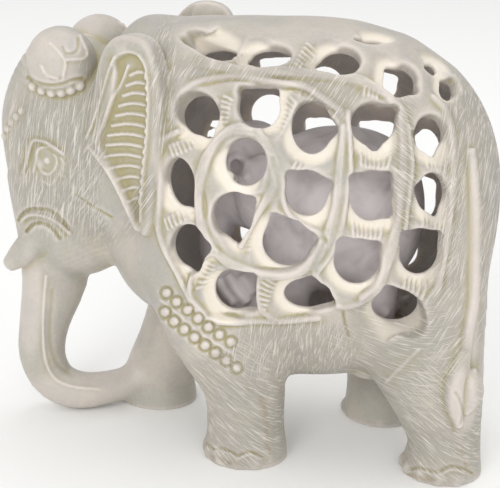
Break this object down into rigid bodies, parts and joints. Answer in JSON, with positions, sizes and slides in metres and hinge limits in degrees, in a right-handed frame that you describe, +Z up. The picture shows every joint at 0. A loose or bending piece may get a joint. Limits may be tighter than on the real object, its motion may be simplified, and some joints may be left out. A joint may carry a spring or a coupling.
{
  "type": "soapstone elephant sculpture",
  "caption": "Hand-carved standing elephant with a hollow barrel pierced as a lattice and a calf left standing inside it, made as one block of pale soapstone.",
  "frame": {"origin": "middle of the bounding box, on the ground under the feet", "axes": "+Z up, the elephant faces -X, its left flank is on -Y"},
  "size_m": [0.1242, 0.06, 0.1072],
  "materials": {
    "soapstone": "hand carved, waxed to a soft sheen, with fine tool scratches"
  },
  "bodies": {
    "root": {"elephant": "soapstone"}
  },
  "joints": []
}
